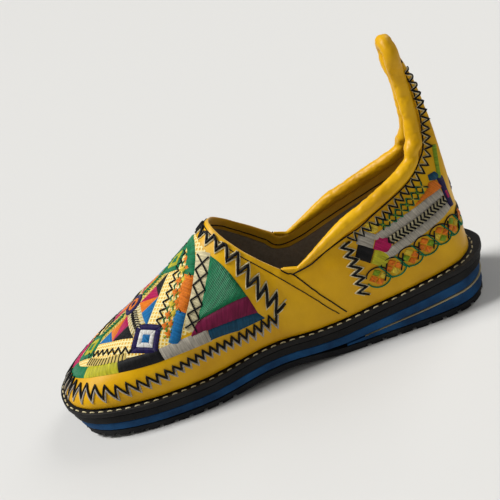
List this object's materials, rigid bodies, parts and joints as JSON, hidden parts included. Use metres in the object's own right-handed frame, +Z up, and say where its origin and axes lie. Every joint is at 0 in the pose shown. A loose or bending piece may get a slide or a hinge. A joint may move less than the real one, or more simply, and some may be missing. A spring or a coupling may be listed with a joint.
{
  "type": "babouche slipper",
  "caption": "Closed-toe leather slipper with an open collar, a tall padded heel tab and a layered platform sole.",
  "frame": {"origin": "on the floor, at the middle of the sole's bounding box", "axes": "+X from the heel to the toe, +Y to the wearer's left, +Z up"},
  "size_m": [0.268, 0.0912, 0.1578],
  "materials": {
    "outsole_rubber": "matt black rubber with shallow cross ribs",
    "blue_foam": "closed-cell foam rubber, royal blue, cut edge",
    "cork_strip": "thin tan filler strip",
    "black_foam": "matt black foam rubber, cut edge",
    "welt_rubber": "black welt strip with a white lockstitch",
    "insole_suede": "grey-brown suede footbed",
    "yellow_leather": "smooth glazed yellow sheepskin with thread embroidery",
    "binding_leather": "smooth yellow leather over a padded roll"
  },
  "bodies": {
    "root": {"outsole": "outsole_rubber", "heel_wedge": "blue_foam", "wedge_line": "cork_strip", "blue_midsole": "blue_foam", "black_midsole": "black_foam", "welt": "welt_rubber", "insole": "insole_suede", "upper": "yellow_leather", "collar_binding": "binding_leather"}
  },
  "joints": []
}
